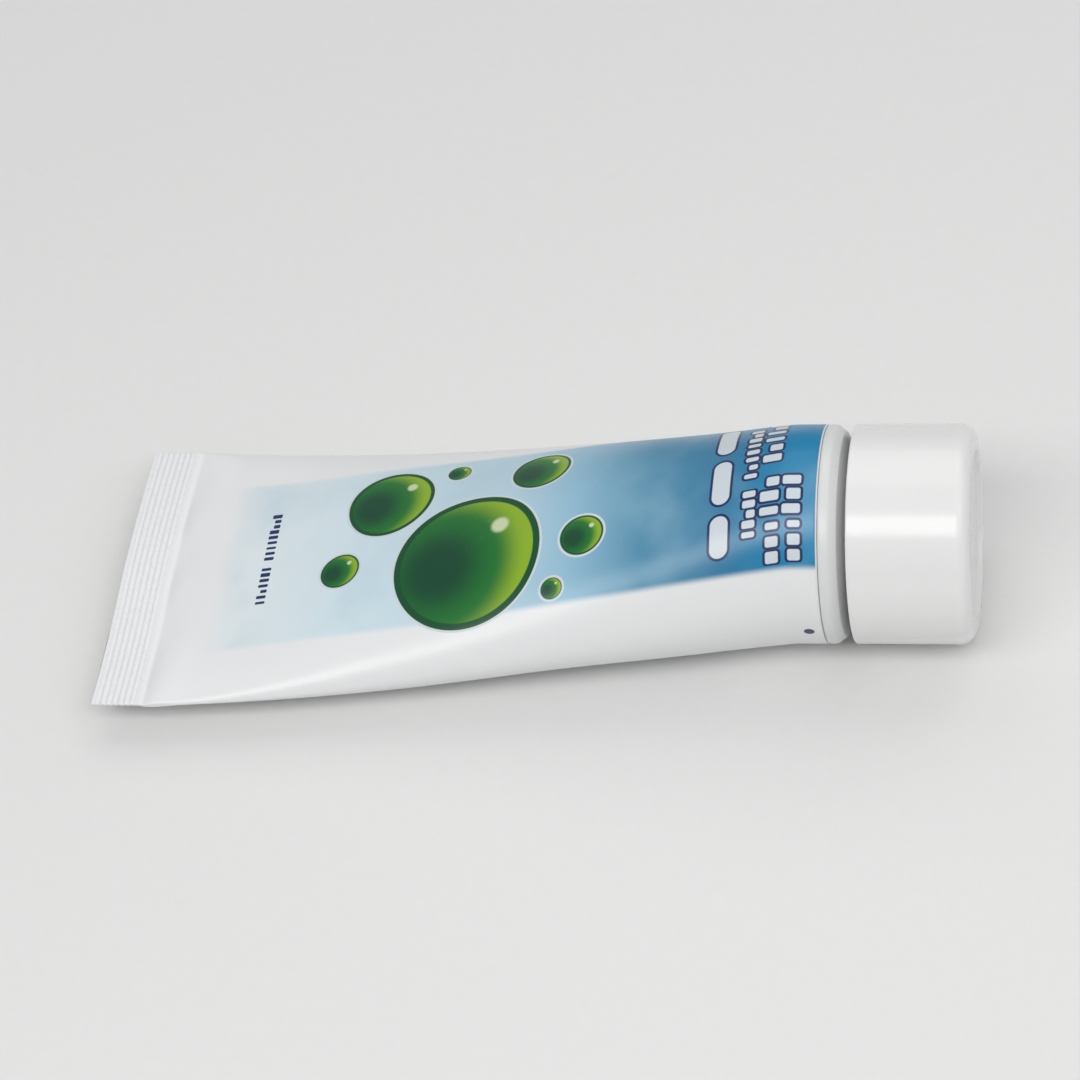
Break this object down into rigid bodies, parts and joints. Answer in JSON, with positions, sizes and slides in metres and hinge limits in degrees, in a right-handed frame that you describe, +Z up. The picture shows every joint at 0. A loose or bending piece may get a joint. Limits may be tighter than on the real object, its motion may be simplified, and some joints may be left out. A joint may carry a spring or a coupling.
{
  "type": "shaving cream tube",
  "caption": "Soft laminate tube with a flat crimped tail, round shoulder and threaded neck, closed by a smooth stand-up screw cap; lies on its back, holds shaving cream.",
  "frame": {"origin": "on the surface that the tube lies on, under the middle of its bounding box", "axes": "+X along the tube's axis towards the cap, +Y across it along the crimp, +Z up through the printed front"},
  "size_m": [0.1434, 0.055, 0.035],
  "materials": {
    "laminate": "gloss",
    "moulded_shoulder": "satin",
    "insert_plastic": "satin",
    "cream": "satin",
    "moulded_cap": "gloss",
    "liner_foam": "matte"
  },
  "bodies": {
    "tube": {"tube_sleeve": "laminate", "tube_shoulder": "moulded_shoulder", "barrier_insert": "insert_plastic", "cream_fill": "cream"},
    "liner": {"cap_liner": "liner_foam"},
    "cap": {"screw_cap": "moulded_cap"}
  },
  "joints": [
    {"name": "cap_lift", "type": "slide", "parent": "tube", "child": "liner", "axis": [1, 0, 0], "range_m": [0, 0.012]},
    {"name": "cap_turn", "type": "hinge", "parent": "liner", "child": "cap", "pos_m": [0.062, 0, 0.0175], "axis": [1, 0, 0], "range_deg": [0, 1441]}
  ],
  "couplings": [
    {"joint": "cap_turn", "follows": "cap_lift", "rad_per_m": 2094.4}
  ]
}
